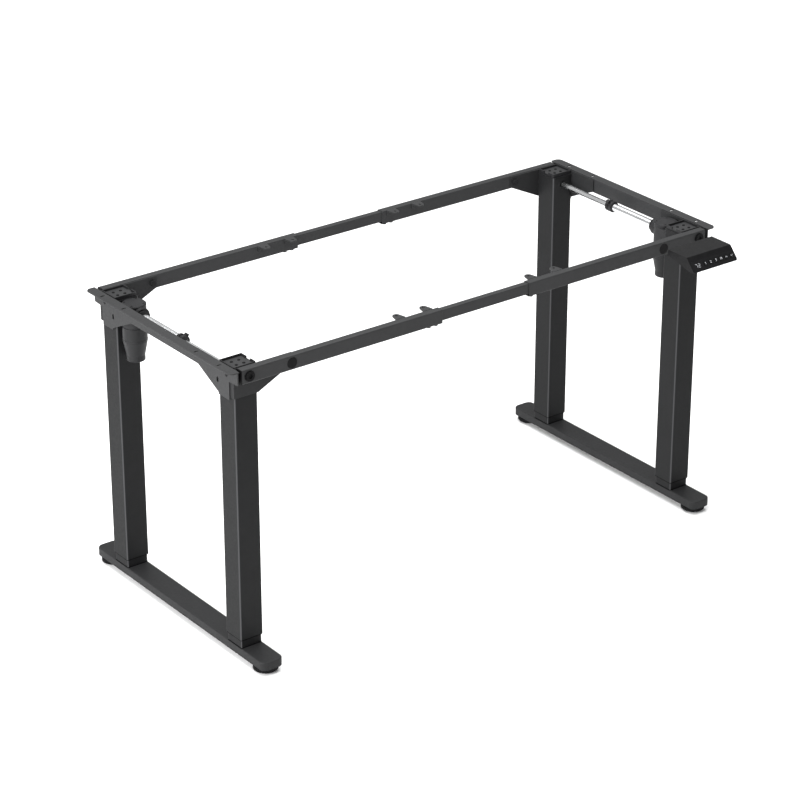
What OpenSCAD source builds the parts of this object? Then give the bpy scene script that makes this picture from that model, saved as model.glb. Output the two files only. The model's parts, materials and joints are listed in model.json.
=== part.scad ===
// Height-adjustable standing desk frame: four two-stage columns on two foot bars,
// a telescoping cross rail at the front and at the back, a folded rail at each end,
// a motor with a cross shaft at each end, and a handset for the front edge of the desktop.
// Millimetres. Origin on the floor at the centre of the frame. Front is -Y, +Z is up.

/* [Overall] */
// Height of the frame's top face, columns down
frame_h = 725; // [690:1:760]
// Column axis from the centre, side to side
leg_x = 640; // [560:1:800]
// Lift of the columns
lift_stroke = 480; // [300:5:490]

/* [Columns] */
// Width of an outer column, side to side
outer_w = 60; // [56:1:66]
// Depth of an outer column, front to back
outer_d = 59; // [52:1:62]
// Wall of an outer column
outer_wall = 1.5; // [1.2:0.1:2]
// Outside corner radius of an outer column
outer_corner = 4; // [3:0.5:6]
// Gap between an outer column and the foot bar
column_gap = 22; // [14:1:40]
// Room between an outer column's bore and the inner column
glide_room = 1.1; // [1:0.05:2]
// Wall of an inner column
inner_wall = 2; // [1.5:0.1:3]
// Radius of the lead screw
spindle_r = 7; // [6:0.5:8]

/* [Feet] */
// Length of a foot bar, front to back
foot_len = 698; // [660:1:760]
// Foot bar's end past the column axis
foot_past = 113.5; // [95:0.5:125]
// Width of a foot bar
foot_w = 57; // [56:1:80]
// Height of a foot bar
foot_h = 20; // [18:1:30]
// Wall of a foot bar
foot_wall = 2.5; // [2:0.1:3]
// Corner radius of a foot bar, seen from above
foot_corner = 16; // [12:1:20]
// Radius of a levelling foot
leveller_r = 29; // [24:1:32]
// Height of a levelling foot
leveller_h = 16; // [12:0.5:20]
// Leveller axis from the end of the foot bar
leveller_inset = 33; // [30:0.5:45]

/* [Cross rails] */
// Width of an outer rail tube, front to back
rail_w = 20; // [18:1:26]
// Height of an outer rail tube
rail_h = 34; // [30:1:44]
// Wall of an outer rail tube
rail_wall = 1.5; // [1.2:0.1:2]
// Height of an inner rail
inner_rail_h = 26; // [20:1:26]
// Wall of an inner rail
inner_rail_wall = 1.5; // [1.2:0.1:2]
// Half of the inner rail's length that shows
rail_mouth = 125; // [110:1:200]
// Travel of each width slide towards the centre
width_in = 95; // [50:5:100]
// Screw hole radius in a rail tab
tab_hole_r = 3.5; // [2.5:0.1:4]
// Reach of a rail tab from the rail to its screw hole
tab_reach = 16; // [14:1:24]

/* [Side rails] */
// Height of the side rail's web at its middle
side_h = 35; // [30:1:46]
// Height of the side rail's web at the columns
side_deep = 78; // [70:1:90]
// Width of the side rail's top flange
flange_w = 25; // [22:1:40]
// Half length of the side rail's flange past the column axis
flange_over = 54.5; // [50:0.5:64]
// Thickness of the side rail's sheet
side_sheet = 2.5; // [2:0.1:3]
// Screw slot from the column axis, outer pair, towards the centre
slot_outer = 1.5; // [2:0.5:20]
// Screw slot from the column axis, inner pair, towards the centre
slot_inner = 90; // [80:0.5:110]
// Half width of a screw slot
slot_r = 3; // [2.5:0.1:4]
// End-to-end length of a screw slot
slot_len = 13; // [10:0.5:18]

/* [Drive] */
// Radius of the motor can
motor_r = 28.5; // [26:0.5:30]
// Height of the motor and its end cap, below the gear housing
motor_h = 86; // [70:1:120]
// Radius of the drive tube
drive_r = 9.5; // [8.5:0.5:10.5]
// Across corners of the hex rod, halved
hex_r = 6.35; // [5.5:0.05:6.5]
// Depth of the cross shaft's axis below the frame's top
shaft_drop = 30.5; // [28:0.5:33]

/* [Handset] */
// Width of the handset
handset_w = 138; // [134:1:170]
// Depth of the handset, front to back
handset_d = 64; // [56:1:80]
// Height of the handset's front panel along its slope
panel_h = 41; // [38:1:48]
// Handset centre from the column axis, towards the centre
handset_in = 60.5; // [0:0.5:300]
// Handset's front top edge past the column axis
handset_past = 156.5; // [130:0.5:220]
// Spacing of the buttons
button_pitch = 16.4; // [15.5:0.1:18]
// Width of a button
button_w = 10; // [8:0.5:12]
// Travel of a button
button_travel = 0.6; // [0.3:0.1:0.8]

/* [Hidden] */
$fn = 48;
paint = "#3b3c3e";
dark_paint = "#2c2d2f";
plastic = "#1d1e20";
steel = "#c9ccd0";
overrun = 1;
fit = 0.3;
seat_fit = 0.1;
bearing_fit = 0.05;

// Lengths that follow from the ones above, heights from the floor up and the top down
leg_y = foot_len / 2 - foot_past;
inner_w = outer_w - 2 * outer_wall - 2 * glide_room;
inner_d = outer_d - 2 * outer_wall - 2 * glide_room;
motor_gap = 0.5;
motor_off = outer_d / 2 + motor_gap + motor_r;
handset_x = leg_x - handset_in;
handset_y = -leg_y - handset_past;
foot_top = leveller_h + foot_h;
outer_bottom = foot_top + column_gap;
bracket_drop = 2;
tray_h = 9;
outer_top = frame_h - tray_h;
gearbox_h = 62;
head_gap = 20;
inner_top = outer_top - gearbox_h - head_gap;
shaft_z = frame_h - shaft_drop;
cavity_w = outer_w - 2 * outer_wall;
cavity_d = outer_d - 2 * outer_wall;
cavity_corner = outer_corner - outer_wall;
column_x_face = leg_x + outer_w / 2;
column_y_face = leg_y + outer_d / 2;

// Column glides and the nut block on the inner column
inner_corner = 3;
glide_h = 40;
glide_lip = 2;
glide_lip_in = 0.6;
nut_h = 34;
nut_cap = 4;
nut_plug = 24;
base_h = 8;
spindle_spare = 10;
spindle_low = inner_top - (nut_h - nut_cap) - lift_stroke - spindle_spare;
spindle_seat = 20;
spindle_tip = 3;
plug_w = inner_w - 2 * inner_wall - 2 * seat_fit;
plug_d = inner_d - 2 * inner_wall - 2 * seat_fit;
journal_h = 9;

// Foot bar and its fasteners
foot_soft = 2;
boss_r = 9;
boss_drop = 3;
stud_r = 4;
stud_top_gap = 2;
bolt_hole_r = 4.3;
bolt_head_r = 7;
bolt_head_h = 4.5;
socket_share = 0.5;
socket_deep = 2.5;
foot_bolt_pitch = 24;
soft_mid_share = 0.35;
leveller_y = foot_len / 2 - leveller_inset;
pad_low_share = 0.7;
pad_r_share = 0.95;
pad_h_share = 0.3;
collar_r_share = 0.8;
knurl_n = 30;
knurl_r = 2.1;
knurl_out_share = 0.35;
edge_top_share = 0.8;

// Corner brackets and side rails
bracket_t = 3;
bracket_deep = 72;
bracket_reach = 118;
wing_reach = 110.5;
bracket_end_h = 30;
web_x = column_x_face + bracket_t;
web_out = outer_w / 2 + bracket_t + side_sheet;
web_end = 51.5;
web_cut = 18.5;
web_end_h = 33;
slope_in = 22.5;
slope_run = 78;
slope_step = 4;
flange_corner = 13;
slot_out = flange_w / 2;
vent_w = 7;
vent_h = 13;
vent_y = 25.5;
vent_z = 45;
side_screw_r = 2.6;
side_head_r = 5;
high_screw = [-17.5, 9];
low_screw = [-9, 21.5];
side_screws = [high_screw, low_screw];

// Cross rails
rail_corner = 3;
rail_y = column_y_face + bracket_t + rail_w / 2;
rail_z = frame_h - rail_h / 2;
rail_over = 24;
rail_end = leg_x + rail_over;
plug_off = 106;
plug_r = 12;
plug_lip = 1;
plug_lip_h = 1.2;
plug_h = 3;
cap_t = 2;
cap_plug = 8;
cap_w = rail_w - 2 * rail_wall - 2 * seat_fit;
cap_d = rail_h - 2 * rail_wall - 2 * seat_fit;
inner_rail_w = rail_w - 2 * rail_wall - 2 * fit;
inner_rail_z = frame_h - rail_wall - fit - inner_rail_h / 2;
inner_rail_corner = 2;
rail_stop_gap = 2;
inner_rail_half = leg_x - plug_off - plug_r - rail_stop_gap - width_in;
liner_len = 40;
liner_gap = rail_h - 2 * rail_wall - inner_rail_h - 2 * fit;
liner_lip = 1.5;
liner_w = rail_w - 2 * rail_corner;
tab_first = 26;
tab_pitch = 75.5;
tab_base = 25;
tab_tip_r = 9.5;
tab_t = 3;
tab_leg = 14;
lock_r = 3;
lock_head_r = 5.5;
lock_head_h = 3.5;
lock_first = 12;
lock_pitch = 20;

// Bolts that hold the rails to the brackets
rail_head_r = 11;
rail_head_h = 3.2;
rail_washer_r = 12.5;
rail_washer_h = 1.2;
rail_bolt_in = 9;
rail_bolt_x = -5;
nut_r = 7.5;
nut_t = 6.5;
bolt_spare = 1;

// Trays and plates on the columns
tray_in_x = 2;
tray_in_y = 3;
tray_w = outer_w - tray_in_x;
tray_d = outer_d - tray_in_y;
tray_wall = 2.2;
tray_floor = 2.2;
tray_corner = 3;
tray_notch = 15;
plate_t = 2;
plate_gap = 0.4;
plate_screw_in = 9.5;
plate_screw_r = 2.2;
plate_head_r = 3.6;
plate_head_h = 1.4;
plate_w = tray_w - 2 * tray_wall - 2 * plate_gap;
plate_d = tray_d - 2 * tray_wall - 2 * plate_gap;
tray_x = (tray_w - outer_w) / 2;
tray_y = (tray_d - outer_d) / 2;

// Motor, gear housing and cross shaft
housing_h = 53;
housing_back_h = 44;
housing_drop = 8;
housing_step = 2;
boss_1_r = 20;
boss_1_end = 36;
boss_2_r = 15;
boss_2_end = 43;
boss_step = 2;
rib_n = 2;
rib_pitch = 2.6;
rib_t = 1.2;
rib_out = 0.9;
motor_cone_share = 0.4;
motor_cap_share = 0.16;
motor_cap_r_share = 0.76;
motor_band = 1;
tube_start = boss_2_end + fit;
tube_past_mid = 10;
tube_end = leg_y - motor_off + tube_past_mid;
drive_bore_r = hex_r + fit;
rod_deep = 10;
collar_len = 20;
collar_ring = 7;
collar_neck_r = 12;
collar_r = 13.5;
collar_slot = 2;
knob_r = 5.5;
knob_h = 5;
knob_in = 6.5;
knob_lean = 36;
port_r = 8;

// Handset: its panel leans back under the desktop by panel_tilt from the upright
panel_tilt = 42;
panel_corner = 6;
handset_back_h = 15;
handset_belly = 9;
face_margin = 3.5;
face_top = 13;
face_bottom = 3.5;
face_t = 1;
face_corner = 4;
button_first = 44.5;
button_h = 13;
button_t = 3;
button_corner = 2;
button_proud = 0.9;
buttons = 6;
face_h = panel_h - face_top - face_bottom;
face_mid = face_top + face_h / 2;

// Outline of a box with round corners, centred
module rounded(w, d, r) {
  square([w - 2 * r, d], center = true);
  square([w, d - 2 * r], center = true);
  for (i = [-1, 1]) {
    for (j = [-1, 1]) {
      translate([i * (w / 2 - r), j * (d / 2 - r)]) circle(r);
    }
  }
}

// Outline of a tube with round corners, centred
module ring_of(w, d, r, wall) {
  difference() {
    rounded(w, d, r);
    rounded(w - 2 * wall, d - 2 * wall, r - wall);
  }
}

// The right end is the left end turned half a turn about the centre
module right_end() {
  rotate([0, 0, 180]) children();
}

// Places a piece at the left end's front or rear column. Before that, the column
// stands at the origin, +X points inwards and +Y to the other column of its end.
module at_leg(rear) {
  mirror([0, rear ? 1 : 0, 0]) translate([-leg_x, -leg_y, 0]) children();
}

module at_both_legs() {
  at_leg(false) children();
  at_leg(true) children();
}

// Turns a piece that points up so that it points to the other column
module along_end() {
  rotate([-90, 0, 0]) children();
}

// Socket bolt along +Z, its head's seat at the origin and its head below
module bolt(r, len, head_r, head_h) {
  cylinder(r = r, h = len);
  difference() {
    translate([0, 0, -head_h]) cylinder(r = head_r, h = head_h);
    translate([0, 0, -head_h - overrun]) cylinder(r = head_r * socket_share, h = socket_deep + overrun, $fn = 6);
  }
}

// Feet

module foot_bar() {
  color(paint) translate([-leg_x, 0, 0]) difference() {
    union() {
      difference() {
        hull() {
          translate([0, 0, leveller_h]) linear_extrude(foot_h - foot_soft) rounded(foot_w, foot_len, foot_corner, $fn = 32);
          translate([0, 0, leveller_h]) linear_extrude(foot_h - foot_soft * soft_mid_share)
            rounded(foot_w - 2 * foot_soft * soft_mid_share, foot_len - 2 * foot_soft * soft_mid_share, foot_corner, $fn = 32);
          translate([0, 0, leveller_h]) linear_extrude(foot_h)
            rounded(foot_w - 2 * foot_soft, foot_len - 2 * foot_soft, foot_corner - foot_soft, $fn = 32);
        }
        translate([0, 0, leveller_h - overrun]) linear_extrude(foot_h - foot_wall + overrun)
          rounded(foot_w - 2 * foot_wall - foot_soft, foot_len - 2 * foot_wall - foot_soft, foot_corner - foot_wall);
      }
      for (j = [-1, 1]) {
        translate([0, j * leveller_y, leveller_h + boss_drop]) cylinder(r = boss_r, h = foot_h - boss_drop - foot_wall / 2);
      }
    }
    for (j = [-1, 1]) {
      translate([0, j * leveller_y, leveller_h - overrun]) cylinder(r = stud_r + bearing_fit, h = foot_h - foot_wall + overrun);
      for (k = [-1, 1]) {
        translate([0, j * leg_y + k * foot_bolt_pitch / 2, leveller_h]) cylinder(r = bolt_hole_r, h = foot_h + overrun);
      }
    }
  }
}

// Knurled levelling foot at the rear end of the left foot bar
module leveller() {
  pad_h = leveller_h * pad_h_share;
  edge_top = leveller_h * edge_top_share;
  color(plastic) translate([-leg_x, leveller_y, 0]) {
    cylinder(r1 = leveller_r * pad_low_share, r2 = leveller_r * pad_r_share, h = pad_h);
    difference() {
      translate([0, 0, pad_h]) cylinder(r = leveller_r, h = edge_top - pad_h);
      for (i = [0 : knurl_n - 1]) {
        rotate([0, 0, i * 360 / knurl_n]) translate([leveller_r + knurl_r * knurl_out_share, 0, pad_h - overrun])
          cylinder(r = knurl_r, h = leveller_h, $fn = 16);
      }
    }
    translate([0, 0, edge_top]) cylinder(r = leveller_r * collar_r_share, h = leveller_h - edge_top - fit);
    translate([0, 0, leveller_h - fit]) cylinder(r = stud_r, h = foot_h - foot_wall - stud_top_gap);
  }
}

module front_leveller() {
  mirror([0, 1, 0]) leveller();
}

module inner_columns() {
  color(dark_paint) at_both_legs() difference() {
    union() {
      translate([0, 0, foot_top]) linear_extrude(inner_top - foot_top) ring_of(inner_w, inner_d, inner_corner, inner_wall);
      translate([0, 0, foot_top]) linear_extrude(base_h)
        rounded(inner_w - inner_wall, inner_d - inner_wall, inner_corner - inner_wall / 2);
    }
    for (k = [-1, 1]) {
      translate([0, k * foot_bolt_pitch / 2, foot_top - overrun]) cylinder(r = stud_r + bearing_fit, h = base_h + 2 * overrun);
    }
  }
}

module nut_blocks() {
  color("#d8d9d4") at_both_legs() translate([0, 0, inner_top]) difference() {
    union() {
      difference() {
        translate([0, 0, nut_cap - nut_h]) linear_extrude(nut_h) rounded(cavity_w - 2 * fit, cavity_d - 2 * fit, cavity_corner);
        translate([0, 0, -nut_h]) linear_extrude(nut_h) rounded(inner_w + 2 * seat_fit, inner_d + 2 * seat_fit, inner_corner);
      }
      translate([0, 0, -nut_plug]) linear_extrude(nut_plug + nut_cap / 2)
        rounded(plug_w, plug_d, inner_corner - inner_wall);
    }
    translate([0, 0, -nut_plug - overrun]) cylinder(r = spindle_r + bearing_fit, h = nut_plug + nut_cap + 2 * overrun);
  }
}

module foot_bolts() {
  color(steel) at_both_legs() for (k = [-1, 1]) {
    translate([0, k * foot_bolt_pitch / 2, foot_top - foot_wall]) bolt(stud_r, foot_wall + base_h, bolt_head_r, bolt_head_h);
  }
}

// Columns and drive

module outer_column(rear) {
  color(paint) at_leg(rear) difference() {
    translate([0, 0, outer_bottom]) linear_extrude(outer_top - outer_bottom) ring_of(outer_w, outer_d, outer_corner, outer_wall);
    translate([0, 0, shaft_z]) along_end() cylinder(r = port_r, h = outer_d);
    translate([rail_bolt_x, -outer_d, rail_z]) along_end() cylinder(r = bolt_hole_r, h = outer_d);
  }
}

module glides() {
  color(plastic) {
    at_both_legs() {
      translate([0, 0, outer_bottom]) linear_extrude(glide_h) difference() {
        rounded(cavity_w - 2 * seat_fit, cavity_d - 2 * seat_fit, cavity_corner);
        rounded(inner_w + 2 * fit, inner_d + 2 * fit, inner_corner + fit);
      }
      translate([0, 0, outer_bottom - glide_lip]) linear_extrude(glide_lip) difference() {
        rounded(outer_w - 2 * glide_lip_in, outer_d - 2 * glide_lip_in, outer_corner - glide_lip_in);
        rounded(inner_w + 2 * fit, inner_d + 2 * fit, inner_corner + fit);
      }
    }
    for (j = [-1, 1]) {
      translate([-rail_mouth - liner_len, j * rail_y - liner_w / 2, frame_h - rail_h + rail_wall])
        cube([liner_len + liner_lip, liner_w, liner_gap]);
    }
  }
}

module gearboxes() {
  low = outer_top - gearbox_h;
  color(dark_paint) at_both_legs() difference() {
    translate([0, 0, low]) linear_extrude(gearbox_h) rounded(cavity_w - 2 * seat_fit, cavity_d - 2 * seat_fit, cavity_corner);
    translate([0, 0, low - overrun]) cylinder(r = spindle_r + bearing_fit, h = journal_h + overrun);
    translate([0, 0, low + journal_h]) cylinder(r = spindle_r + fit, h = spindle_seat - journal_h + fit);
    translate([0, -rod_deep - fit, shaft_z]) along_end() cylinder(r = drive_bore_r, h = outer_d);
    translate([rail_bolt_x, -cavity_d / 2 + rail_bolt_in - outer_d, rail_z]) along_end() cylinder(r = bolt_hole_r, h = outer_d);
  }
}

module spindle(rear) {
  top = outer_top - gearbox_h + spindle_seat;
  color(steel) at_leg(rear) {
    translate([0, 0, spindle_low]) cylinder(r1 = spindle_r - spindle_tip / 2, r2 = spindle_r, h = spindle_tip);
    translate([0, 0, spindle_low + spindle_tip]) cylinder(r = spindle_r, h = top - spindle_low - spindle_tip);
  }
}

// Moulded housing of the worm gear: a round turret over the motor, a square back
// against the column and a stepped barrel that carries the drive tube
module gear_housing() {
  low = frame_h - housing_drop - housing_h;
  turret_r = motor_r - fit;
  color(plastic) at_leg(true) difference() {
    union() {
      translate([0, motor_off, low]) cylinder(r = turret_r, h = housing_h - housing_step);
      translate([0, motor_off, low + housing_h - housing_step]) cylinder(r1 = turret_r, r2 = turret_r - housing_step, h = housing_step);
      translate([-turret_r, outer_d / 2, low]) cube([2 * turret_r, motor_off - outer_d / 2, housing_back_h]);
      translate([0, motor_off, shaft_z]) along_end() cylinder(r = boss_1_r, h = boss_1_end - boss_step);
      translate([0, motor_off + boss_1_end - boss_step, shaft_z]) along_end() cylinder(r1 = boss_1_r, r2 = boss_1_r - boss_step, h = boss_step);
      translate([0, motor_off, shaft_z]) along_end() cylinder(r = boss_2_r, h = boss_2_end);
      for (i = [1 : rib_n]) {
        translate([0, motor_off + boss_1_end + i * rib_pitch, shaft_z]) along_end() cylinder(r = boss_2_r + rib_out, h = rib_t);
      }
    }
    translate([0, 0, shaft_z]) along_end() cylinder(r = drive_bore_r, h = motor_off + boss_2_end + overrun);
  }
}

module motor() {
  cone_h = motor_h * motor_cone_share;
  cap_h = motor_h * motor_cap_share;
  can_h = motor_h - cone_h - cap_h;
  cap_r = motor_r * motor_cap_r_share;
  color(dark_paint) at_leg(true) translate([0, motor_off, frame_h - housing_drop - housing_h - motor_h]) {
    cylinder(r1 = cap_r - motor_band, r2 = cap_r, h = motor_band);
    translate([0, 0, motor_band]) cylinder(r = cap_r, h = cap_h - motor_band);
    translate([0, 0, cap_h]) cylinder(r1 = cap_r, r2 = motor_r, h = cone_h);
    translate([0, 0, cap_h + cone_h]) cylinder(r = motor_r, h = can_h - 2 * motor_band);
    translate([0, 0, cap_h + cone_h]) cylinder(r = motor_r - motor_band, h = can_h);
  }
}

module drive_tube() {
  color("#dfe1e4") at_leg(true) translate([0, motor_off, shaft_z]) along_end() difference() {
    translate([0, 0, tube_start]) cylinder(r = drive_r, h = tube_end - tube_start);
    translate([0, 0, tube_start - overrun]) cylinder(r = drive_bore_r, h = tube_end - tube_start + 2 * overrun);
  }
}

module hex_rod() {
  color("#d3d6da") at_leg(true) translate([0, -rod_deep, shaft_z]) along_end() cylinder(r = hex_r, h = 2 * leg_y + 2 * rod_deep, $fn = 6);
}

// Clamp collar that holds the hex rod in the drive tube: a neck, a split ring and a screw
module shaft_collar() {
  color(plastic) at_leg(true) translate([0, motor_off + tube_end, shaft_z]) along_end() difference() {
    union() {
      cylinder(r = collar_neck_r, h = collar_len);
      cylinder(r = collar_r, h = collar_ring);
      translate([0, 0, collar_len - collar_ring]) cylinder(r = collar_r, h = collar_ring);
      translate([0, 0, collar_len - knob_in]) rotate([90, 0, knob_lean]) cylinder(r = knob_r, h = collar_r + knob_h);
    }
    translate([0, 0, -overrun]) cylinder(r = hex_r, h = collar_len + 2 * overrun, $fn = 6);
    translate([-collar_slot / 2, 0, -overrun]) cube([collar_slot, collar_r + overrun, collar_len + 2 * overrun]);
  }
}

// Trays and plates

module plate_places() {
  for (i = [-1, 1]) {
    for (j = [-1, 1]) {
      translate([i * plate_screw_in, j * plate_screw_in, 0]) children();
    }
  }
}

module top_trays() {
  color(plastic) at_both_legs() translate([tray_x, tray_y, outer_top]) difference() {
    linear_extrude(tray_h) rounded(tray_w, tray_d, tray_corner);
    translate([0, 0, tray_floor]) linear_extrude(tray_h)
      rounded(tray_w - 2 * tray_wall, tray_d - 2 * tray_wall, tray_corner - tray_wall);
    translate([tray_w / 2 - 2 * tray_wall, -tray_notch / 2, tray_floor + plate_t]) cube([3 * tray_wall, tray_notch, tray_h]);
    translate([0, 0, -overrun]) plate_places() cylinder(r = plate_screw_r, h = tray_floor + 2 * overrun);
  }
}

module top_plates() {
  color("#77797c") at_both_legs() translate([tray_x, tray_y, outer_top + tray_floor]) difference() {
    linear_extrude(plate_t) rounded(plate_w, plate_d, tray_corner - tray_wall);
    plate_places() cylinder(r = plate_screw_r, h = plate_t + overrun);
  }
}

// Corner brackets: one wing behind the cross rail, one inside the side rail

module corner_brackets() {
  top = frame_h - bracket_drop;
  low = frame_h - bracket_deep;
  x_out = outer_w / 2 + bracket_t;
  y_out = outer_d / 2 + bracket_t;
  color(dark_paint) at_both_legs() difference() {
    union() {
      translate([0, -outer_d / 2, 0]) rotate([90, 0, 0]) linear_extrude(bracket_t)
        polygon([[-x_out, low], [outer_w / 2, low], [bracket_reach, frame_h - bracket_end_h], [bracket_reach, top], [-x_out, top]]);
      translate([-x_out, 0, 0]) rotate([90, 0, 90]) linear_extrude(bracket_t)
        polygon([[-y_out, low], [slope_in, low], [wing_reach, frame_h - side_h + bracket_drop], [wing_reach, top], [-y_out, top]]);
    }
    for (x = [rail_bolt_x, plug_off]) {
      translate([x, -outer_d, rail_z]) along_end() cylinder(r = bolt_hole_r, h = outer_d);
    }
    side_vent();
    side_screw_places() cylinder(r = side_screw_r, h = side_sheet + bracket_t + overrun);
  }
}

// Upright slot through a side rail and a bracket, and the places of the web's screws
module side_vent() {
  translate([-web_out - overrun, vent_y, frame_h - vent_z]) rotate([90, 0, 90]) linear_extrude(side_sheet + bracket_t + 2 * overrun) {
    square([vent_w, vent_h - vent_w], center = true);
    for (k = [-1, 1]) {
      translate([0, k * (vent_h - vent_w) / 2]) circle(vent_w / 2);
    }
  }
}

module side_screw_places() {
  for (s = side_screws) {
    translate([-web_out, s[0], frame_h - s[1]]) rotate([0, 90, 0]) children();
  }
}

// Half of the side rail's web, as (distance from the middle, height)
function side_half() = [
  [leg_y - slope_in - slope_run, frame_h - side_h],
  [leg_y - slope_in, frame_h - side_deep + slope_step],
  [leg_y - slope_in, frame_h - side_deep],
  [leg_y + web_cut, frame_h - side_deep],
  [leg_y + web_cut, frame_h - side_h],
  [leg_y + web_end, frame_h - web_end_h],
  [leg_y + web_end, frame_h]
];

module side_rail() {
  half = side_half();
  y_flange = leg_y + flange_over;
  color(paint) difference() {
    union() {
      translate([-web_x - side_sheet, 0, 0]) rotate([90, 0, 90]) linear_extrude(side_sheet)
        polygon(concat(half, [for (i = [len(half) - 1 : -1 : 0]) [-half[i][0], half[i][1]]]));
      translate([-web_x, 0, frame_h - side_sheet]) linear_extrude(side_sheet) {
        translate([-flange_w, -y_flange + flange_corner]) square([flange_w, 2 * (y_flange - flange_corner)]);
        translate([-flange_w + flange_corner, -y_flange]) square([flange_w - flange_corner, 2 * y_flange]);
        for (j = [-1, 1]) {
          translate([-flange_w + flange_corner, j * (y_flange - flange_corner)]) circle(flange_corner);
        }
      }
    }
    for (j = [-1, 1]) {
      for (y = [leg_y - slot_outer, leg_y - slot_inner]) {
        translate([-web_x - slot_out, j * y, frame_h - side_sheet - overrun]) linear_extrude(side_sheet + 2 * overrun) {
          square([slot_len - 2 * slot_r, 2 * slot_r], center = true);
          for (i = [-1, 1]) {
            translate([i * (slot_len / 2 - slot_r), 0]) circle(slot_r);
          }
        }
      }
    }
    at_both_legs() {
      side_vent();
      side_screw_places() {
        translate([0, 0, -overrun]) cylinder(r = side_screw_r, h = side_sheet + 2 * overrun);
        cylinder(r1 = side_head_r, r2 = side_screw_r, h = side_head_r - side_screw_r);
      }
    }
  }
}

// Cross rails

module rail_tab() {
  difference() {
    union() {
      translate([0, 0, frame_h - tab_t]) linear_extrude(tab_t) {
        polygon([
          [-tab_base / 2, -rail_wall / 2],
          [tab_base / 2, -rail_wall / 2],
          [tab_base / 2, tab_t],
          [tab_tip_r, tab_reach],
          [-tab_tip_r, tab_reach],
          [-tab_base / 2, tab_t]
        ]);
        translate([0, tab_reach]) circle(tab_tip_r);
      }
      translate([-tab_base / 2, -rail_wall / 2, frame_h - tab_leg]) cube([tab_base, rail_wall / 2 + tab_t, tab_leg]);
    }
    translate([0, tab_reach, frame_h - tab_t - overrun]) cylinder(r = tab_hole_r, h = tab_t + 2 * overrun);
  }
}

// Outer tube of the left front cross rail, or its mirror image at the rear
module rail_tube(rear) {
  color(paint) mirror([0, rear ? 1 : 0, 0]) translate([0, -rail_y, 0]) {
    difference() {
      translate([-rail_end, 0, rail_z]) rotate([90, 0, 90]) linear_extrude(rail_end - rail_mouth)
        ring_of(rail_w, rail_h, rail_corner, rail_wall);
      translate([-leg_x + rail_bolt_x, -rail_w, rail_z]) along_end() cylinder(r = bolt_hole_r, h = 2 * rail_w);
      translate([-leg_x + plug_off, 0, rail_z]) along_end() cylinder(r = bolt_hole_r, h = rail_w);
      translate([-leg_x + plug_off, -rail_w, rail_z]) along_end() cylinder(r = plug_r, h = rail_w);
      lock_places() translate([0, 0, -overrun]) cylinder(r = lock_r + bearing_fit, h = rail_wall + 2 * overrun);
    }
    for (i = [0, 1]) {
      translate([-rail_mouth - tab_first - i * tab_pitch, rail_w / 2, 0]) rail_tab();
    }
  }
}

// Places of the lock screws on the underside of a cross rail's mouth
module lock_places() {
  for (i = [0, 1]) {
    translate([-rail_mouth - lock_first - i * lock_pitch, 0, frame_h - rail_h]) children();
  }
}

module inner_rail(rear) {
  color(paint) translate([-inner_rail_half, rear ? rail_y : -rail_y, inner_rail_z]) rotate([90, 0, 90])
    linear_extrude(2 * inner_rail_half) ring_of(inner_rail_w, inner_rail_h, inner_rail_corner, inner_rail_wall);
}

module rail_plugs() {
  color(plastic) for (j = [0, 1]) {
    mirror([0, j, 0]) translate([0, -rail_y, rail_z]) {
      translate([-leg_x + plug_off, -rail_w / 2, 0]) along_end() {
        cylinder(r = plug_r - seat_fit, h = plug_h);
        translate([0, 0, -plug_lip_h]) cylinder(r1 = plug_r, r2 = plug_r + plug_lip, h = plug_lip_h);
      }
      translate([-rail_end, 0, 0]) rotate([90, 0, 90]) {
        translate([0, 0, -cap_t]) linear_extrude(cap_t) rounded(rail_w, rail_h, rail_corner);
        linear_extrude(cap_plug) rounded(cap_w, cap_d, rail_corner - rail_wall);
      }
    }
  }
}

// Fasteners of the upper frame

module frame_bolts() {
  rail_front = leg_y - rail_y - rail_w / 2;
  color(steel) at_both_legs() {
    translate([rail_bolt_x, rail_front - rail_washer_h, rail_z]) along_end() {
      cylinder(r = rail_washer_r, h = rail_washer_h);
      bolt(stud_r, rail_washer_h + rail_w + bracket_t + outer_wall + rail_bolt_in - bolt_spare, rail_head_r, rail_head_h);
    }
    translate([plug_off, rail_front + rail_w - rail_wall, rail_z]) along_end() {
      bolt(stud_r, rail_wall + bracket_t + nut_t + bolt_spare, bolt_head_r, bolt_head_h);
      translate([0, 0, rail_wall + bracket_t]) cylinder(r = nut_r, h = nut_t, $fn = 6);
    }
    translate([tray_x, tray_y, outer_top]) plate_places() {
      translate([0, 0, tray_floor + plate_t]) cylinder(r1 = plate_head_r, r2 = plate_head_r - plate_head_h / 2, h = plate_head_h);
      cylinder(r = plate_screw_r - seat_fit, h = tray_floor + plate_t);
    }
    side_screw_places() {
      cylinder(r1 = side_head_r - seat_fit, r2 = side_screw_r - seat_fit, h = side_head_r - side_screw_r);
      cylinder(r = side_screw_r - seat_fit, h = side_sheet + bracket_t - seat_fit);
    }
  }
  color(steel) for (j = [-1, 1]) {
    translate([0, j * rail_y, 0]) lock_places() bolt(lock_r, rail_wall - seat_fit, lock_head_r, lock_head_h);
  }
}

// Handset

// Stands a piece on the leaning panel: +X along it, +Z up it from its top edge, -Y out of it
module on_panel() {
  translate([handset_x, handset_y, frame_h]) rotate([-panel_tilt, 0, 0]) children();
}

// Slab let into the panel: its middle at x and v down the panel, from deep to proud of it
module panel_slab(x, v, w, h, r, deep, proud) {
  on_panel() translate([x, deep, -v]) rotate([90, 0, 0]) linear_extrude(deep + proud) rounded(w, h, r);
}

function button_x(i) = -handset_w / 2 + button_first + i * button_pitch;

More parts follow.
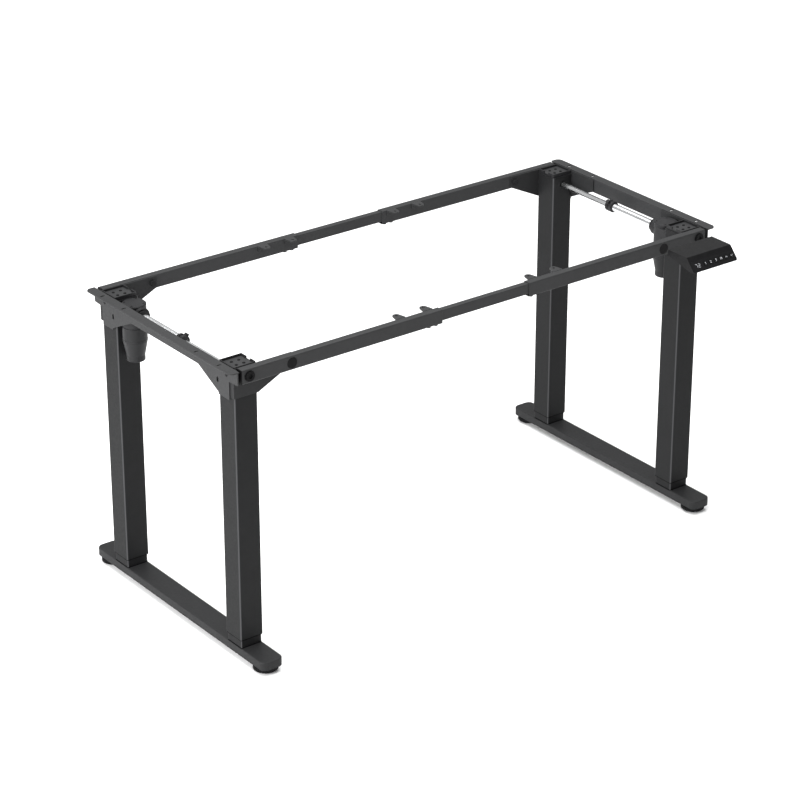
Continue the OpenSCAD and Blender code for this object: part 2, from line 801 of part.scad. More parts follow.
module handset_housing() {
  front_y = handset_y - panel_h * sin(panel_tilt);
  front_z = frame_h - panel_h * cos(panel_tilt);
  back_y = handset_y + handset_d;
  color(plastic) difference() {
    intersection() {
      translate([handset_x - handset_w / 2, 0, 0]) rotate([90, 0, 90]) linear_extrude(handset_w) polygon([
        [handset_y, frame_h],
        [front_y, front_z],
        [front_y + handset_belly, front_z - handset_belly / 4],
        [back_y, frame_h - handset_back_h],
        [back_y, frame_h]
      ]);
      panel_slab(0, (panel_h - handset_d) / 2, handset_w, panel_h + handset_d, panel_corner, handset_d, overrun);
    }
    panel_slab(0, face_mid, handset_w - 2 * face_margin + 2 * seat_fit, face_h + 2 * seat_fit, face_corner, face_t, overrun);
    for (i = [0 : buttons - 1]) {
      panel_slab(button_x(i), face_mid, button_w + 2 * fit, button_h + 2 * fit, button_corner, button_t + button_travel, overrun);
    }
  }
}

module handset_panel() {
  color("#0c0d0f") difference() {
    panel_slab(0, face_mid, handset_w - 2 * face_margin, face_h, face_corner, face_t, 0);
    for (i = [0 : buttons - 1]) {
      panel_slab(button_x(i), face_mid, button_w + 2 * fit, button_h + 2 * fit, button_corner, face_t + overrun, overrun);
    }
  }
}

module button(i) {
  color("#26272a") panel_slab(button_x(i), face_mid, button_w, button_h, button_corner, button_t - button_proud, button_proud);
}

foot_bar();  // left_foot_bar
inner_columns();  // left_inner_columns
nut_blocks();  // left_nut_blocks
foot_bolts();  // left_foot_bolts
front_leveller();  // front_left_leveller
leveller();  // rear_left_leveller
outer_column(false);  // front_left_outer_column
outer_column(true);  // rear_left_outer_column
glides();  // left_glides
gearboxes();  // left_gearboxes
gear_housing();  // left_gear_housing
motor();  // left_motor
top_trays();  // left_top_trays
top_plates();  // left_top_plates
corner_brackets();  // left_corner_brackets
side_rail();  // left_side_rail
rail_tube(false);  // front_left_rail_tube
rail_tube(true);  // rear_left_rail_tube
rail_plugs();  // left_rail_plugs
frame_bolts();  // left_frame_bolts
drive_tube();  // left_drive_tube
hex_rod();  // left_hex_rod
shaft_collar();  // left_shaft_collar
spindle(false);  // front_left_spindle
spindle(true);  // rear_left_spindle
right_end() foot_bar();  // right_foot_bar
right_end() inner_columns();  // right_inner_columns
right_end() nut_blocks();  // right_nut_blocks
right_end() foot_bolts();  // right_foot_bolts
right_end() leveller();  // front_right_leveller
right_end() front_leveller();  // rear_right_leveller
right_end() outer_column(true);  // front_right_outer_column
right_end() outer_column(false);  // rear_right_outer_column
right_end() glides();  // right_glides
right_end() gearboxes();  // right_gearboxes
right_end() gear_housing();  // right_gear_housing
right_end() motor();  // right_motor
right_end() top_trays();  // right_top_trays
right_end() top_plates();  // right_top_plates
right_end() corner_brackets();  // right_corner_brackets
right_end() side_rail();  // right_side_rail
right_end() rail_tube(true);  // front_right_rail_tube
right_end() rail_tube(false);  // rear_right_rail_tube
right_end() rail_plugs();  // right_rail_plugs
right_end() frame_bolts();  // right_frame_bolts
right_end() drive_tube();  // right_drive_tube
right_end() hex_rod();  // right_hex_rod
right_end() shaft_collar();  // right_shaft_collar
right_end() spindle(true);  // front_right_spindle
right_end() spindle(false);  // rear_right_spindle
inner_rail(false);  // front_inner_rail
inner_rail(true);  // rear_inner_rail
handset_housing();
handset_panel();
button(0);  // button_1
button(1);  // button_2
button(2);  // button_3
button(3);  // button_store
button(4);  // button_up
button(5);  // button_down
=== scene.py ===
"""Looks of the standing desk frame: materials, small fittings, light and camera.

Lengths are in metres. Front is -Y, +Z is up and the floor is at z = 0.
"""
import json
import math

import bmesh
import bpy
from mathutils import Matrix, Vector


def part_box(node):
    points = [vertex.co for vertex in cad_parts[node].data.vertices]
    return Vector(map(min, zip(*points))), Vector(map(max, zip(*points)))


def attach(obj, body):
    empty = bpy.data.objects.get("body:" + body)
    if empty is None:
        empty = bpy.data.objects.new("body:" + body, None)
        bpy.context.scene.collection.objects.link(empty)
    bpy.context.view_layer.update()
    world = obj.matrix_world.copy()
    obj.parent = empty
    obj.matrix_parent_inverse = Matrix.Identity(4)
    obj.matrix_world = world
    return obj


MM = 0.001
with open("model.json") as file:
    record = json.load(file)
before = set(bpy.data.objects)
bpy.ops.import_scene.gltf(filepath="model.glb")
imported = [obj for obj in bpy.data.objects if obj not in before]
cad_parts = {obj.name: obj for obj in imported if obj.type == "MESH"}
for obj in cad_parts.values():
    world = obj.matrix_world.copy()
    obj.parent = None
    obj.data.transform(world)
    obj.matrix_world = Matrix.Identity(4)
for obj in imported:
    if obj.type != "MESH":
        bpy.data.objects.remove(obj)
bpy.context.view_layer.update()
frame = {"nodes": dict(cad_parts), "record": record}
nodes = frame["nodes"]
SIDES = ("left", "right")


# Node helpers

NOISE_SPAN = (0.25, 0.75)
# Where the painted edge and corner highlights begin and end.
EDGE_HIGHLIGHT_SPAN = (0.995, 0.8)
CORNER_HIGHLIGHT_SPAN = (0.16, 0.46)
PAINT_MOTTLE = (0.93, 1.07)
PLASTIC_MOTTLE = (0.8, 1.25)
STEEL_MOTTLE = (0.82, 1.08)
INK_MOTTLE = (0.85, 1.0)
MOTTLE_ENDS = (0.3, 0.7)


def new_material(name):
    """An empty node material, with its tree and its shader."""
    mat = bpy.data.materials.new(name)
    mat.use_nodes = True
    tree = mat.node_tree
    shader = tree.nodes["Principled BSDF"]
    return mat, tree, shader


def add_node(tree, kind, values=None, sources=None):
    """A node with values set and sockets linked, each by its input's name or number."""
    node = tree.nodes.new(kind)
    for socket, value in (values or {}).items():
        node.inputs[socket].default_value = value
    for socket, source in (sources or {}).items():
        tree.links.new(source, node.inputs[socket])
    return node


def add_math(tree, operation, values, *sources):
    """A maths node on the linked sources and on values by input number."""
    node = add_node(tree, "ShaderNodeMath", values, dict(enumerate(sources)))
    node.operation = operation
    return node.outputs["Value"]


def add_noise(tree, scale, detail=4.0, rough=0.5, stretch=(1, 1, 1)):
    """Noise in object space, stretched along an axis; returns its value socket."""
    own = add_node(tree, "ShaderNodeTexCoord").outputs["Object"]
    mapping = add_node(tree, "ShaderNodeMapping", {"Scale": stretch}, {"Vector": own})
    noise = add_node(
        tree, "ShaderNodeTexNoise", {"Scale": scale, "Detail": detail, "Roughness": rough},
        {"Vector": mapping.outputs["Vector"]},
    )
    return noise.outputs["Fac"]


def scaled(tint, share):
    """A colour times a number."""
    return [c * share for c in tint]


def mottled(tree, value, tint, shares):
    """The colour tint, times the first share where the value is low and the last where high."""
    node = add_node(tree, "ShaderNodeValToRGB", {}, {"Fac": value})
    for i in range(2):
        element = node.color_ramp.elements[i]
        element.position = MOTTLE_ENDS[i]
        element.color = (*scaled(tint, shares[i]), 1)
    return node.outputs["Color"]


def map_range(tree, value, old, new=(0.0, 1.0)):
    """Maps a value from the range old to the range new and holds it there."""
    values = {"From Min": old[0], "From Max": old[1], "To Min": new[0], "To Max": new[1]}
    return add_node(tree, "ShaderNodeMapRange", values, {"Value": value}).outputs["Result"]


def bevel_normal(tree, radius):
    """The normal of a surface whose edges are rounded."""
    return add_node(tree, "ShaderNodeBevel", {"Radius": radius}).outputs["Normal"]


def grain_bump(tree, shader, value, strength, depth, bevel):
    """Fine relief on a shader, with its sharp edges rounded by bevel."""
    bump = add_node(
        tree, "ShaderNodeBump", {"Strength": strength, "Distance": depth},
        {"Height": value, "Normal": bevel_normal(tree, bevel)},
    )
    tree.links.new(bump.outputs["Normal"], shader.inputs["Normal"])


def painted_edge_highlight(tree, bevel):
    """Mask of a painted edge highlight, 1 on an edge and 0 on the flats: how far the rounded
    normal leaves the true one.
    """
    true = add_node(tree, "ShaderNodeNewGeometry").outputs["Normal"]
    dot = add_node(tree, "ShaderNodeVectorMath", {}, {0: bevel_normal(tree, bevel), 1: true})
    dot.operation = "DOT_PRODUCT"
    return map_range(tree, dot.outputs["Value"], EDGE_HIGHLIGHT_SPAN)


def painted_corner_highlight(tree):
    """Mask of a painted highlight, 1 along the upright rounded corners of a square tube and 0 on
    its flats.
    """
    true = add_node(tree, "ShaderNodeNewGeometry").outputs["Normal"]
    split = add_node(tree, "ShaderNodeSeparateXYZ", {}, {0: true})
    both = add_math(tree, "MULTIPLY", {}, split.outputs["X"], split.outputs["Y"])
    return map_range(tree, add_math(tree, "ABSOLUTE", {}, both), CORNER_HIGHLIGHT_SPAN)


def band_value(tree, place, half):
    """1 where the piece's own x, left or right, is within half of place, else 0."""
    own = add_node(tree, "ShaderNodeTexCoord").outputs["Object"]
    split = add_node(tree, "ShaderNodeSeparateXYZ", {}, {0: own})
    size = add_math(tree, "ABSOLUTE", {}, split.outputs["X"])
    return add_math(tree, "COMPARE", {1: place, 2: half}, size)


def tint_where(tree, coat, factor, tint):
    """The colour coat, replaced by tint as far as factor says."""
    mix = tree.nodes.new("ShaderNodeMix")
    mix.data_type = "RGBA"
    mix.inputs["B"].default_value = (*tint, 1)
    tree.links.new(factor, mix.inputs["Factor"])
    tree.links.new(coat, mix.inputs["A"])
    return mix.outputs["Result"]


# Materials

def powder_coat(
    name, tint, rough=0.42, bevel=0.8 * MM, edge=2.2, sheen=0.22, corner=0.0, band=None
):
    """Satin powder coat: a faint mottle, fine orange peel and paler, softened edges.

    Edge and corner say how many times paler those are, as a painted highlight on the
    edges and upright corners. Band is a place and a half width along x, and the colour there.
    """
    mat, tree, shader = new_material(name)
    coat = mottled(tree, add_noise(tree, 24, 7, 0.55), tint, PAINT_MOTTLE)
    # Painted highlight: the edges are painted paler, edge times the tint.
    coat = tint_where(tree, coat, painted_edge_highlight(tree, bevel), scaled(tint, edge))
    # Painted highlight: the upright tube corners are painted paler, corner times the tint.
    if corner:
        coat = tint_where(tree, coat, painted_corner_highlight(tree), scaled(tint, corner))
    if band:
        place, half, band_tint = band
        coat = tint_where(tree, coat, band_value(tree, place, half), band_tint)
    tree.links.new(coat, shader.inputs["Base Color"])
    satin = map_range(tree, add_noise(tree, 210, 5), NOISE_SPAN, (rough - 0.05, rough + 0.07))
    tree.links.new(satin, shader.inputs["Roughness"])
    grain_bump(tree, shader, add_noise(tree, 1400, 3, 0.55), 0.18, 0.25 * MM, bevel)
    shader.inputs["Specular IOR Level"].default_value = sheen
    return mat


def moulded_plastic(name, tint, rough=0.5, grain=0.2, coat=0.0, sheen=0.3):
    """Moulded plastic with a fine spark-eroded grain."""
    mat, tree, shader = new_material(name)
    colour = mottled(tree, add_noise(tree, 60, 5), tint, PLASTIC_MOTTLE)
    tree.links.new(colour, shader.inputs["Base Color"])
    satin = map_range(tree, add_noise(tree, 420, 4), NOISE_SPAN, (rough - 0.06, rough + 0.08))
    tree.links.new(satin, shader.inputs["Roughness"])
    grain_bump(tree, shader, add_noise(tree, 2600, 2), grain, 0.12 * MM, 0.5 * MM)
    shader.inputs["Coat Weight"].default_value = coat
    shader.inputs["Coat Roughness"].default_value = 0.12
    shader.inputs["Specular IOR Level"].default_value = sheen
    return mat


def turned_steel(name, tint, rough, stretch):
    """Steel with fine marks that run round or along the part."""
    mat, tree, shader = new_material(name)
    marks = add_noise(tree, 260, 6, 0.6, stretch)
    tree.links.new(mottled(tree, marks, tint, STEEL_MOTTLE), shader.inputs["Base Color"])
    satin = map_range(tree, marks, NOISE_SPAN, (rough - 0.06, rough + 0.1))
    tree.links.new(satin, shader.inputs["Roughness"])
    grain_bump(tree, shader, marks, 0.12, 0.05 * MM, 0.3 * MM)
    shader.inputs["Metallic"].default_value = 1.0
    return mat


def printed_ink(name, tint, glow):
    """White print or lit digits: slightly uneven ink with a glow, the display's own light on the
    digits and a painted glow on the print.
    """
    mat, tree, shader = new_material(name)
    colour = mottled(tree, add_noise(tree, 900, 3), tint, INK_MOTTLE)
    tree.links.new(colour, shader.inputs["Base Color"])
    shader.inputs["Roughness"].default_value = 0.45
    shader.inputs["Emission Color"].default_value = (*tint, 1)
    shader.inputs["Emission Strength"].default_value = glow
    return mat


# Bolts of the corner brackets lie in this band along x, and are paler than the others.
BRACKET_BOLTS = (0.534, 0.02, (0.015, 0.0152, 0.0158))

# Maker, tint and values of the material of each slot.
# Edge and corner values set the strength of painted highlights on edges and upright corners.
SLOTS = {
    "frame_paint": (powder_coat, (0.021, 0.0213, 0.0222), {"rough": 0.5}),
    "column_paint": (
        powder_coat, (0.0115, 0.0117, 0.0122),
        {"rough": 0.52, "bevel": 0.7 * MM, "edge": 1.5, "sheen": 0.09, "corner": 4.8},
    ),
    "bracket_paint": (powder_coat, (0.017, 0.0173, 0.018), {"rough": 0.55, "sheen": 0.16}),
    "motor_paint": (powder_coat, (0.010, 0.0102, 0.011), {"rough": 0.42, "sheen": 0.2}),
    "bright_steel": (turned_steel, (0.80, 0.81, 0.82), {"rough": 0.2, "stretch": (1, 0.04, 1)}),
    "zinc_steel": (turned_steel, (0.55, 0.56, 0.57), {"rough": 0.34, "stretch": (1, 1, 0.05)}),
    "dark_bolt": (
        powder_coat, (0.0045, 0.0045, 0.0048),
        {"rough": 0.45, "bevel": 0.3 * MM, "edge": 3.0, "sheen": 0.06, "band": BRACKET_BOLTS},
    ),
    "black_plastic": (moulded_plastic, (0.011, 0.011, 0.012), {"rough": 0.48, "sheen": 0.2}),
    "nut_plastic": (moulded_plastic, (0.70, 0.70, 0.66), {"rough": 0.45}),
    "pad_rubber": (
        moulded_plastic, (0.007, 0.007, 0.0075), {"rough": 0.6, "grain": 0.35, "sheen": 0.08}
    ),
    "handset_plastic": (
        moulded_plastic, (0.0055, 0.0055, 0.006), {"rough": 0.42, "grain": 0.15, "sheen": 0.1}
    ),
    "handset_gloss": (
        moulded_plastic, (0.004, 0.004, 0.0045),
        {"rough": 0.2, "grain": 0.02, "coat": 0.25, "sheen": 0.1},
    ),
    "button_plastic": (
        moulded_plastic, (0.006, 0.006, 0.0065), {"rough": 0.36, "grain": 0.08, "sheen": 0.1}
    ),
}
MATERIALS = {name: make(name, tint, **values) for name, (make, tint, values) in SLOTS.items()}
FOOT_PAINT = powder_coat(
    "foot_paint", (0.0185, 0.0187, 0.0194), rough=0.5, bevel=1.2 * MM, edge=2.4, sheen=0.12
)
# Near-black painted shade: stands for the dark contact gaps at the inner columns' feet and the
# outer columns' mouths.
PAINTED_SHADE_BLACK = moulded_plastic(
    "painted_shade_black", (0.0012, 0.0012, 0.0013), rough=0.7, grain=0.3, sheen=0.02
)
PLUG_PLASTIC = moulded_plastic(
    "plug_plastic", (0.0045, 0.0045, 0.0048), rough=0.5, grain=0.2, sheen=0.08
)
WELD_PAINT = powder_coat(
    "weld_paint", (0.017, 0.0172, 0.018), rough=0.5, bevel=0.3 * MM, edge=1.6, sheen=0.16
)
# The print's glow is painted light; print gives off no light of its own.
INK = printed_ink("white_print", (0.62, 0.63, 0.65), glow=0.12)
DIGITS = printed_ink("lit_digits", (0.42, 0.43, 0.45), glow=0.3)

# Nodes, named here without their side, that don't wear their slot's material.
# Glides are black plastic, made near-black here as painted shade of the gap at the columns'
# mouths.
OWN_MATERIALS = {"foot_bar": FOOT_PAINT, "glides": PAINTED_SHADE_BLACK, "rail_plugs": PLUG_PLASTIC}

for part in frame["record"]["subparts"]:
    node = nodes[part["node"]]
    kind = part["node"].split("_", 1)[1]
    material = OWN_MATERIALS.get(kind, MATERIALS[part["material_slot"]])
    if not node.material_slots:
        node.data.materials.append(material)
    for held in node.material_slots:
        held.material = material


# Mesh helpers

def finish_piece(bm, name, body, material, smooth=False):
    """Turns a bmesh into a piece that rides on a body and wears a material."""
    bmesh.ops.remove_doubles(bm, verts=bm.verts, dist=0.001 * MM)
    bmesh.ops.recalc_face_normals(bm, faces=bm.faces)
    mesh = bpy.data.meshes.new(name)
    bm.to_mesh(mesh)
    bm.free()
    for face in mesh.polygons:
        face.use_smooth = smooth
    piece = bpy.data.objects.new(name, mesh)
    bpy.context.scene.collection.objects.link(piece)
    piece.data.materials.append(material)
    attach(piece, body)


def bridge(bm, rings):
    """Faces between each ring of vertices and the next one."""
    for low, high in zip(rings, rings[1:]):
        count = len(low)
        for i in range(count):
            j = (i + 1) % count
            bm.faces.new((low[i], low[j], high[j], high[i]))


def circle(radius, steps):
    """Points (u, v) round a circle."""
    turns = [math.tau * i / steps for i in range(steps)]
    return [(radius * math.cos(turn), radius * math.sin(turn)) for turn in turns]


def add_ring(bm, place, points, z, share=1):
    """Vertices over points (u, v), scaled by share and lifted by z from a place."""
    return [bm.verts.new(place + Vector((u * share, v * share, z))) for u, v in points]


def extrude_outline(bm, points, place, thick):
    """A slab over an outline in (u, v), lifted off its plane by thick."""
    low = [bm.verts.new(place @ Vector((u, v, 0))) for u, v in points]
    high = [bm.verts.new(place @ Vector((u, v, thick))) for u, v in points]
    bm.faces.new(low[::-1])
    bm.faces.new(high)
    bridge(bm, [low, high])


def stroke_outline(start, end, width):
    """Outline of a line with pointed ends, as on a segment display."""
    along = (end - start).normalized() * width / 2
    across = Vector((-along.y, along.x))
    corners = (
        start - along, start + across, end + across, end + along, end - across, start - across
    )
    return [(p.x, p.y) for p in corners]


# Handset: digits and icons on the leaning panel

PANEL_TILT = math.radians(42)
UP_PANEL = Vector((0, math.sin(PANEL_TILT), math.cos(PANEL_TILT)))
OUT_OF_PANEL = Vector((0, -math.cos(PANEL_TILT), math.sin(PANEL_TILT)))
INK_THICK = 0.12 * MM
ICON_TALL = 5.4 * MM
ICON_LINE = 0.6 * MM
DIGIT_TALL = 8.6 * MM
DIGIT_WIDE = 5.2 * MM
DIGIT_LINE = 0.8 * MM
DIGIT_PITCH = 9.0 * MM
SEGMENT_GAP = DIGIT_LINE * 0.6
DISPLAY_FROM_LEFT = 12.5 * MM
DISPLAY_DOWN = 0.8 * MM

# The points that each icon's line runs through, one unit being the icon's height.
ICONS = {
    "button_1": [(-0.22, 0.28), (0.02, 0.5), (0.02, -0.5)],
    "button_2": [(-0.3, 0.3), (0.0, 0.5), (0.3, 0.28), (-0.3, -0.5), (0.32, -0.5)],
    "button_3": [(-0.3, 0.5), (0.3, 0.5), (0.0, 0.1), (0.3, -0.2), (-0.3, -0.5)],
    "button_store": [(-0.38, -0.5), (-0.38, 0.5), (0, 0), (0.38, 0.5), (0.38, -0.5)],
    "button_up": [(-0.5, -0.25), (0, 0.3), (0.5, -0.25)],
    "button_down": [(-0.5, 0.25), (0, -0.3), (0.5, 0.25)],
}
# Ends of a display's segments, in shares of the digit's width and height.
SEGMENTS = {
    "a": ((0, 1), (1, 1)), "b": ((1, 1), (1, 0.5)), "c": ((1, 0.5), (1, 0)),
    "d": ((0, 0), (1, 0)), "e": ((0, 0), (0, 0.5)), "g": ((0, 0.5), (1, 0.5)),
}
SHOWN_DIGITS = ("abc", "abged")


def panel_place(point):
    """Axes at a point: u along the panel, v up it, w out of it."""
    right = Vector((1, 0, 0))
    place = Matrix((right, UP_PANEL, OUT_OF_PANEL)).transposed().to_4x4()
    place.translation = point
    return place


def face_point(node):
    """Middle of a node's outer face on the leaning panel."""
    low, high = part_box(node)
    middle = (low + high) / 2
    reach = max((v.co - middle).dot(OUT_OF_PANEL) for v in nodes[node].data.vertices)
    return middle + OUT_OF_PANEL * reach


def add_icons():
    """A printed sign on each key, which rides on the key."""
    for button, line in ICONS.items():
        bm = bmesh.new()
        place = panel_place(face_point(button))
        points = [Vector(point) * ICON_TALL for point in line]
        for start, end in zip(points, points[1:]):
            extrude_outline(bm, stroke_outline(start, end, ICON_LINE), place, INK_THICK)
        key = button.replace("button", "key")
        finish_piece(bm, button + "_icon", key, INK)


def add_digits():
    """The two lit digits of the display."""
    low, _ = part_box("handset_panel")
    middle = face_point("handset_panel")
    bm = bmesh.new()
    for i, digit in enumerate(SHOWN_DIGITS):
        point = Vector((low.x + DISPLAY_FROM_LEFT + i * DIGIT_PITCH, middle.y, middle.z))
        place = panel_place(point - UP_PANEL * DISPLAY_DOWN)
        for name in digit:
            start, end = (
                Vector(((u - 0.5) * DIGIT_WIDE, (v - 0.5) * DIGIT_TALL)) for u, v in SEGMENTS[name]
            )
            gap = (end - start).normalized() * SEGMENT_GAP
            outline = stroke_outline(start + gap, end - gap, DIGIT_LINE)
            extrude_outline(bm, outline, place, INK_THICK)
    finish_piece(bm, "display_digits", "right_frame", DIGITS)


# Welds of the screw tabs

WELD_R = 1.3 * MM
WELD_TALL = 10.5 * MM
WELD_BEADS = 9
WELD_STEPS = 4 * WELD_BEADS
WELD_ARC_STEPS = 4
WELD_RIPPLE = 0.22
WELD_END = 0.25
TAB_LEG = 14 * MM
TAB_WIDE = 25 * MM
TAB_X = (0.151, 0.2265)
TAB_FACE_Y = 0.268


def add_weld(bm, foot, side):
    """A rippled fillet up one edge of a tab's leg; side is the way it bulges along x."""
    rings = []
    for i in range(WELD_STEPS + 1):
        share = i / WELD_STEPS
        swell = 1 - WELD_RIPPLE * abs(math.sin(math.pi * share * WELD_BEADS))
        if i in (0, WELD_STEPS):
            swell = WELD_END
        rise = Vector((0, 0, share * WELD_TALL))
        ring = []
        for k in range(WELD_ARC_STEPS + 1):
            turn = math.radians(90 * k / WELD_ARC_STEPS)
            out = Vector((side * math.cos(turn), math.copysign(math.sin(turn), -foot.y), 0))
            ring.append(bm.verts.new(foot + out * WELD_R * swell + rise))
        ring.append(bm.verts.new(foot + rise))
        rings.append(ring)
    bridge(bm, rings)
    bm.faces.new(rings[0][::-1])
    bm.faces.new(rings[-1])


def add_tab_welds(row, side):
    """The welds of both tabs of one rail tube; row is front or rear."""
    x_way = -1 if side == "left" else 1
    y_way = -1 if row == "front" else 1
    foot_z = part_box("front_left_rail_tube")[1].z - TAB_LEG
    bm = bmesh.new()
    for x in TAB_X:
        for way in (-1, 1):
            foot = Vector((x_way * x + way * TAB_WIDE / 2, y_way * TAB_FACE_Y, foot_z))
            add_weld(bm, foot, way)
    name = row + "_" + side + "_tab_welds"
    finish_piece(bm, name, side + "_frame", WELD_PAINT, True)


# Screws of the gear housings' covers

SCREW_R = 2.6 * MM
SCREW_H = 1.1 * MM
SCREW_STEPS = 48
SCREW_RING_R = 22.5 * MM
# Share of the radius and height at each step from the seat to the crown.
SCREW_PROFILE = ((1, -0.2 * MM), (1, 0.5 * SCREW_H), (0.86, 0.9 * SCREW_H), (0.6, SCREW_H))
CROSS_HALF = 0.55 * MM
CROSS_ARM = SCREW_R * 0.45
CROSS_TAPER = 0.8
CROSS_FLOOR = 0.2 * MM
CROSS = (
    (CROSS_HALF, CROSS_HALF), (CROSS_HALF, CROSS_ARM), (-CROSS_HALF, CROSS_ARM),
    (-CROSS_HALF, CROSS_HALF), (-CROSS_ARM, CROSS_HALF), (-CROSS_ARM, -CROSS_HALF),
    (-CROSS_HALF, -CROSS_HALF), (-CROSS_HALF, -CROSS_ARM), (CROSS_HALF, -CROSS_ARM),
    (CROSS_HALF, -CROSS_HALF), (CROSS_ARM, -CROSS_HALF), (CROSS_ARM, CROSS_HALF),
)


def add_screw(bm, place):
    """A pan head with a crossed slot, its seat at a place."""
    outline = circle(SCREW_R, SCREW_STEPS)
    rims = [add_ring(bm, place, outline, z, share) for share, z in SCREW_PROFILE]
    bridge(bm, rims)
    bm.faces.new(rims[0][::-1])
    lip = add_ring(bm, place, CROSS, SCREW_H)
    pit = add_ring(bm, place, CROSS, CROSS_FLOOR, CROSS_TAPER)
    bridge(bm, [pit, lip])
    bm.faces.new(pit)
    edges = []
    for loop in (rims[-1], lip):
        for a, b in zip(loop, loop[1:] + loop[:1]):
            edges.append(bm.edges.get((a, b)) or bm.edges.new((a, b)))
    bmesh.ops.triangle_fill(bm, edges=edges, use_beauty=True)


def add_cover_screws(end, middle, top):
    """Four screws on the gear housing's round cover."""
    bm = bmesh.new()
    for quarter in range(4):
        turn = math.radians(45 + 90 * quarter)
        x = middle.x + SCREW_RING_R * math.cos(turn)
        y = middle.y + SCREW_RING_R * math.sin(turn)
        add_screw(bm, Vector((x, y, top)))
    plastic = MATERIALS["black_plastic"]
    finish_piece(bm, end + "_cover_screws", end + "_frame", plastic)


# Seams of the motors

SEAM_PROUD = 0.35 * MM
SEAM_ROOT = 0.6 * MM
SEAM_TALL = 1.6 * MM
SEAM_DROPS = (5 * MM, 35 * MM)
SEAM_STEPS = 72
# Radius beyond the can and height at each corner of the section.
SEAM_PROFILE = (
    (-SEAM_ROOT, 0), (SEAM_PROUD * 0.5, 0), (SEAM_PROUD, SEAM_TALL * 0.3),
    (SEAM_PROUD, SEAM_TALL * 0.7), (SEAM_PROUD * 0.5, SEAM_TALL), (-SEAM_ROOT, SEAM_TALL),
)


def add_motor_seams(end, middle, top, radius):
    """Two thin rolled seams round the motor's can."""
    bm = bmesh.new()
    for drop in SEAM_DROPS:
        foot = Vector((middle.x, middle.y, top - drop))
        loops = [
            add_ring(bm, foot, circle(radius + out, SEAM_STEPS), z) for out, z in SEAM_PROFILE
        ]
        bridge(bm, loops + loops[:1])
    paint = MATERIALS["motor_paint"]
    finish_piece(bm, end + "_motor_seams", end + "_frame", paint, True)


# Beads of painted shade at the inner columns' feet

SHADE_BEAD_PROUD = 0.9 * MM
SHADE_BEAD_THICK = 2 * SHADE_BEAD_PROUD
SHADE_BEAD_TALL = 1.6 * MM
SHADE_BEAD_SUNK = 0.2 * MM
SHADE_BEAD_CORNER = 4.5 * MM
SHADE_BEAD_INNER_CORNER = SHADE_BEAD_CORNER - 0.5 * SHADE_BEAD_THICK
SHADE_BEAD_SLOPE = 0.3 * SHADE_BEAD_THICK
CORNER_STEPS = 6
COLUMN_BACK = 0.2355


def rounded_loop(bm, middle, half_x, half_y, corner, z):
    """A ring of vertices round a rectangle with rounded corners."""
    loop = []
    for quarter, (x_way, y_way) in enumerate(((1, 1), (-1, 1), (-1, -1), (1, -1))):
        for k in range(CORNER_STEPS + 1):
            turn = math.radians(90 * quarter + 90 / CORNER_STEPS * k)
            x = middle.x + x_way * (half_x - corner) + corner * math.cos(turn)
            y = middle.y + y_way * (half_y - corner) + corner * math.sin(turn)
            loop.append(bm.verts.new((x, y, z)))
    return loop


def add_base_shade_beads(end):
    """Near-black beads of painted shade where the inner columns stand on the foot bar."""
    low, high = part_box(end + "_inner_columns")
    foot_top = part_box(end + "_foot_bar")[1].z
    half_x = (high.x - low.x) / 2 + SHADE_BEAD_PROUD
    half_y = high.y - COLUMN_BACK + SHADE_BEAD_PROUD
    bottom = foot_top - SHADE_BEAD_SUNK
    top = foot_top + SHADE_BEAD_TALL
    section = (
        (SHADE_BEAD_THICK, SHADE_BEAD_INNER_CORNER, bottom), (0, SHADE_BEAD_CORNER, bottom),
        (0, SHADE_BEAD_CORNER, (bottom + top) / 2), (SHADE_BEAD_SLOPE, SHADE_BEAD_CORNER, top),
        (SHADE_BEAD_THICK, SHADE_BEAD_INNER_CORNER, top),
    )
    bm = bmesh.new()
    for way in (-1, 1):
        middle = Vector(((low.x + high.x) / 2, way * COLUMN_BACK, 0))
        loops = [
            rounded_loop(bm, middle, half_x - inset, half_y - inset, corner, z)
            for inset, corner, z in section
        ]
        bridge(bm, loops + loops[:1])
    finish_piece(bm, end + "_base_shade_beads", end + "_foot", PAINTED_SHADE_BLACK, True)


# Every small fitting

add_icons()
add_digits()
for row in ("front", "rear"):
    for side in SIDES:
        add_tab_welds(row, side)
for side in SIDES:
    motor_low, motor_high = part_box(side + "_motor")
    motor_middle = (motor_low + motor_high) / 2
    motor_radius = (motor_high.x - motor_low.x) / 2
    cover_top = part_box(side + "_gear_housing")[1].z
    add_cover_screws(side, motor_middle, cover_top)
    add_motor_seams(side, motor_middle, motor_high.z, motor_radius)
    add_base_shade_beads(side)


# Studio

FLOOR_HALF = 30
FLOOR_TINT = (0.96, 0.96, 0.96)
FLOOR_MOTTLE = (0.93 / 0.96, 1.0)
WORLD_STRENGTH = 0.6
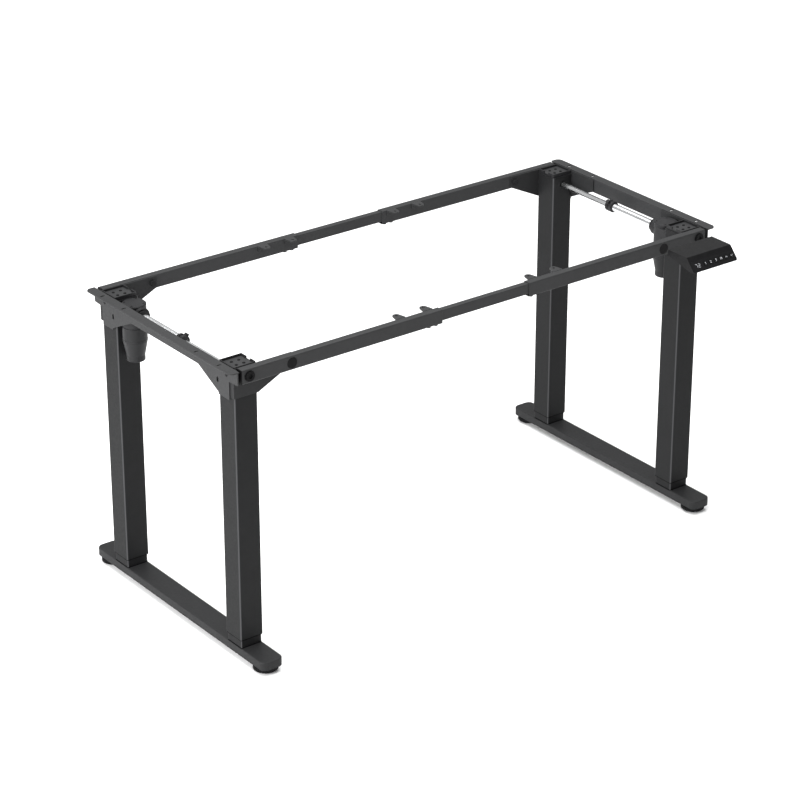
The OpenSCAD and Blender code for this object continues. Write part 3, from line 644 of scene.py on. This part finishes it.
# Name, place, target, size and power of each lamp.
LAMPS = (
    ("key_left", (-4.2, -0.6, 1.9), (0, 0, 0.4), (3.0, 2.6), 250),
    ("top", (0.2, 0.6, 4.6), (0, 0, 0.3), (5.0, 5.0), 330),
)
CAMERA_PLACE = (-3.73514, -4.88773, 3.26166)
CAMERA_AZIMUTH = -37.198
CAMERA_ELEVATION = 25.257
FOCAL_PIXELS = 2868.356
IMAGE_PIXELS = 800
SENSOR_WIDTH = 36.0
CLIP_END = 100


def add_floor():
    """A plain pale floor."""
    half = FLOOR_HALF
    corners = [(-half, -half, 0), (half, -half, 0), (half, half, 0), (-half, half, 0)]
    mesh = bpy.data.meshes.new("floor")
    mesh.from_pydata(corners, [], [(0, 1, 2, 3)])
    floor = bpy.data.objects.new("floor", mesh)
    bpy.context.scene.collection.objects.link(floor)
    mat, tree, shader = new_material("pale_floor")
    colour = mottled(tree, add_noise(tree, 3), FLOOR_TINT, FLOOR_MOTTLE)
    tree.links.new(colour, shader.inputs["Base Color"])
    shader.inputs["Roughness"].default_value = 0.9
    floor.data.materials.append(mat)


def add_world():
    """Even white light from all round."""
    world = bpy.data.worlds.new("studio")
    bpy.context.scene.world = world
    world.use_nodes = True
    background = world.node_tree.nodes["Background"]
    background.inputs["Color"].default_value = (1, 1, 1, 1)
    background.inputs["Strength"].default_value = WORLD_STRENGTH


def add_lamp(name, place, target, size, power):
    """A rectangular lamp that looks at a target."""
    light = bpy.data.lights.new(name, "AREA")
    light.shape = "RECTANGLE"
    light.size, light.size_y = size
    light.energy = power
    lamp = bpy.data.objects.new(name, light)
    bpy.context.scene.collection.objects.link(lamp)
    lamp.location = place
    aim = Vector(target) - Vector(place)
    lamp.rotation_euler = aim.to_track_quat("-Z", "Y").to_euler()


def add_camera():
    """The camera, fitted to the photograph's perspective."""
    camera = bpy.data.cameras.new("camera")
    camera.sensor_width = SENSOR_WIDTH
    camera.lens = FOCAL_PIXELS / IMAGE_PIXELS * SENSOR_WIDTH
    camera.clip_end = CLIP_END
    holder = bpy.data.objects.new("camera", camera)
    bpy.context.scene.collection.objects.link(holder)
    holder.location = CAMERA_PLACE
    tilt = math.radians(90 - CAMERA_ELEVATION)
    holder.rotation_euler = (tilt, 0, math.radians(CAMERA_AZIMUTH))
    bpy.context.scene.camera = holder


add_floor()
add_world()
for lamp_values in LAMPS:
    add_lamp(*lamp_values)
add_camera()
bpy.context.scene.view_settings.view_transform = "Standard"
